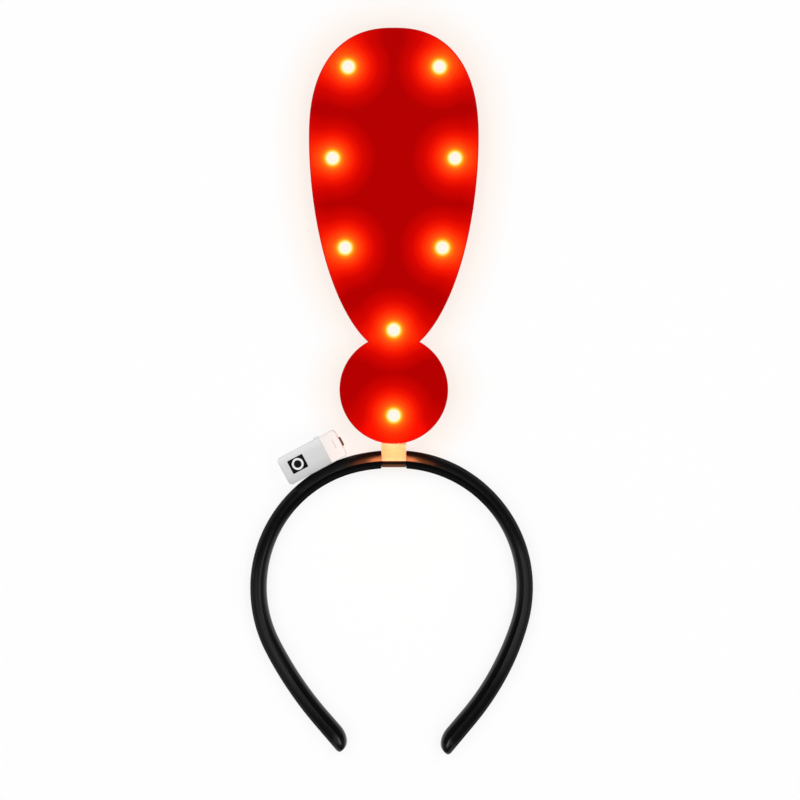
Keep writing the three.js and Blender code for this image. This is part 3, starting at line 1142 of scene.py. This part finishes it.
@dataclass(frozen=True)
class Panel:
    """One panel of light, aimed from its start at its end, out of the camera's own sight."""

    name: str
    start: tuple
    power: float
    width: float = 1000.0
    height: float = 1000.0
    end: tuple = (0.0, 0.0, 0.0)
    colour: str = WHITE
    spread: float = 180.0
    outline: Outline = Outline.SOFTBOX

    def build(self) -> None:
        """Hang the panel."""
        data = bpy.data.lights.new(self.name, "AREA")
        data.shape = self.outline.value
        data.size = self.width * MM
        data.size_y = self.height * MM
        data.energy = self.power
        data.color = linear(self.colour)[:3]
        data.spread = math.radians(self.spread)
        light = show(data)
        light.location = Vector(self.start) * MM
        light.rotation_euler = (Vector(self.start) - Vector(self.end)).to_track_quat("Z", "Y").to_euler()
        light.visible_camera = False


def stand(azimuth: float, elevation: float, distance: float = 1700.0) -> tuple[float, float, float]:
    """Where a light stands: degrees round from the front to the right, degrees up, and its distance."""
    turn, level = math.radians(azimuth), distance * math.cos(math.radians(elevation))
    return level * math.sin(turn), -level * math.cos(turn), distance * math.sin(math.radians(elevation))


@dataclass
class Studio:
    """A pale floor, soft lights round the headband, and a camera square over its front."""

    view_width: float = 383.2
    view_middle: tuple = (4.04, -4.16)
    view_plane: float = 7.5
    camera_height: float = 1800.0
    sensor: float = 36.0
    sheet: OpalSheet = OpalSheet()
    floor_half: float = 6000.0
    floor_fine: float = 250.0
    floor_steps: int = 161
    floor_power: int = 15
    floor_drop: float = 0.1
    halo_near: float = 5.0
    halo_far: float = 20.0
    # The room's shade by the height of the way to it, from level to overhead.
    room: tuple = ((0.0, "484848"), (0.4, "484848"), (0.8, "202020"), (1.0, "080808"))
    panels: tuple = (
        Panel("soft_front_right", stand(45.0, 56.0), 8.5),
        Panel("soft_front_left", stand(315.0, 56.0), 8.5),
        Panel("soft_back_right", stand(135.0, 56.0), 8.5),
        Panel("soft_back_left", stand(225.0, 56.0), 8.5),
        Panel("strip_right", stand(80.0, 22.0), 2.5, 1300.0, 800.0),
        Panel("strip_left", stand(290.0, 22.0), 2.0, 1300.0, 800.0),
        Panel("low_beam", OVER_DOME, 0.0066, 30.0, 16.0, STRAP_FRONT, "ff8d55", 80.0, Outline.BEAM),
        Panel("wide_beam", OVER_DOME, 0.0018, 54.0, 16.0, STRAP_FRONT, "ff8045", 80.0, Outline.BEAM),
        Panel("high_beam", OVER_BAND, 0.0006, 8.0, 8.0, TAB_FRONT, "fff0d4", 24.0, Outline.BEAM),
    )

    def camera(self) -> None:
        """Set the camera straight over the front, so that the view's width fits at the mid plane."""
        data = bpy.data.cameras.new("front_camera")
        data.sensor_width = self.sensor
        data.lens = self.sensor * self.camera_height / self.view_width
        camera = show(data)
        camera.location = Vector((*self.view_middle, self.view_plane + self.camera_height)) * MM
        bpy.context.scene.camera = camera

    def floor(self, mark: Mark) -> None:
        """Lay the plain pale floor just under the backs.

        Its grid is a straight line plus a high odd power of the share: fine about the mark, wide far out.

        Args:
            mark: the lit mark, whose halo the floor takes.
        """
        count = self.floor_steps
        step = np.linspace(-1, 1, count)
        spread = self.floor_fine * step + (self.floor_half - self.floor_fine) * step**self.floor_power
        flat = np.stack(np.meshgrid(spread, spread), axis=-1).reshape(-1, 2) + (0, mark.drop_height / 2)
        points = lifted(flat, -self.floor_drop) + mark.middle()
        first = np.arange(count - 1)[:, None] * count + np.arange(count - 1)
        quads = np.stack([first, first + 1, first + count + 1, first + count], axis=-1).reshape(-1, 4)
        mesh = bpy.data.meshes.new("studio_floor")
        mesh.from_pydata((points * MM).tolist(), [], quads.tolist())
        mesh.materials.append(self.sheet.material())
        floor = show(mesh)
        # The painted pool of the mark's light: full near its outline, gone a little way out.
        away = (mark.to_edge(flat) - self.halo_near) / (self.halo_far - self.halo_near)
        mark_points(floor, "halo", 1 - smoothstep(away))

    def surroundings(self) -> None:
        """Light the room: pale where the camera looks, dim overhead, so that flat faces stay deep."""
        nodes = Nodes(bpy.data.worlds.new("studio_room"), "Generated")
        height = nodes.add("SeparateXYZ", links={0: nodes.place}, out=Axis.OUT.value)
        room = nodes.add("ValToRGB", links={"Fac": height}, stops=self.room)
        seen = nodes.add("LightPath", out="Is Camera Ray")
        shade = nodes.add("Mix", {"B": linear(WHITE)}, {"Factor": seen, "A": room}, data_type="RGBA")
        back = nodes.add("Background", links={"Color": shade})
        nodes.add("OutputWorld", links={"Surface": back})
        bpy.context.scene.world = nodes.owner

    def build(self, mark: Mark) -> None:
        """Set up the whole studio.

        Args:
            mark: the lit mark.
        """
        self.camera()
        self.floor(mark)
        self.surroundings()
        for panel in self.panels:
            panel.build()
        settings = bpy.context.scene.view_settings
        settings.view_transform = "Standard"
        settings.look = "None"


def main() -> None:
    """Build the headband and its studio."""
    logging.basicConfig(level=logging.INFO)
    zero = crown_zero()
    mark = Mark(zero)
    Studio().build(mark)
    Band(zero).build()
    Strap(zero).build()
    lights = Lights()
    mark.build(LitRedPlastic().material(lights.middles()))
    lights.build()
    box = BatteryBox()
    box.build()
    box.dress()


if __name__ == "__main__":
    main()
